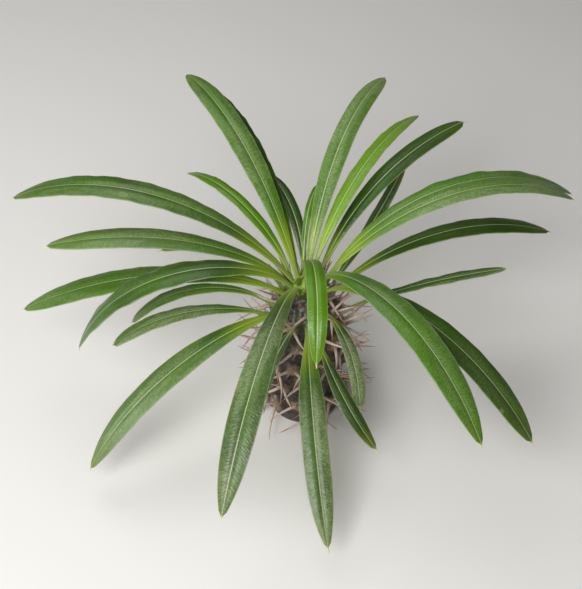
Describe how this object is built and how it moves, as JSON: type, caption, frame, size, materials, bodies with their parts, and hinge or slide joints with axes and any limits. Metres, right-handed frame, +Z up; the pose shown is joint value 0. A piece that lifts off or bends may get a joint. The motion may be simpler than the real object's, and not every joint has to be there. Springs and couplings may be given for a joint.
{
  "type": "madagascar palm plant without a pot",
  "caption": "Young succulent plant: a swollen grey stem covered in spines in threes, standing on its flat foot, with a crown of long arching strap leaves.",
  "frame": {"origin": "middle of the stem's flat foot, on the surface that the plant stands on", "axes": "+Z up along the stem, +X along the widest spread of the leaves, +Y towards the plant's back"},
  "size_m": [0.4783, 0.4118, 0.233],
  "materials": {
    "stem_bark": "smooth, slightly waxy grey-brown succulent bark with knobs, green near the tip, and dull brown spines",
    "leaf_green": "waxy mid-green leaf skin with a soft sheen, a pale midrib and fine side veins",
    "leaf_young": "brighter yellow-green skin of young leaves with a soft sheen"
  },
  "bodies": {
    "root": {"stem": "stem_bark", "bud": "leaf_young", "leaf_01": "leaf_green", "leaf_02": "leaf_green", "leaf_03": "leaf_green", "leaf_04": "leaf_green", "leaf_05": "leaf_green", "leaf_06": "leaf_green", "leaf_07": "leaf_green", "leaf_08": "leaf_green", "leaf_09": "leaf_green", "leaf_10": "leaf_green", "leaf_11": "leaf_young", "leaf_12": "leaf_green", "leaf_13": "leaf_green", "leaf_14": "leaf_green", "leaf_15": "leaf_green", "leaf_16": "leaf_green", "leaf_17": "leaf_green", "leaf_18": "leaf_green", "leaf_19": "leaf_green", "leaf_20": "leaf_green", "leaf_21": "leaf_green", "leaf_22": "leaf_green", "leaf_23": "leaf_young", "leaf_24": "leaf_green", "leaf_25": "leaf_young", "leaf_26": "leaf_green", "leaf_27": "leaf_green", "leaf_28": "leaf_green", "leaf_29": "leaf_young"}
  },
  "joints": []
}
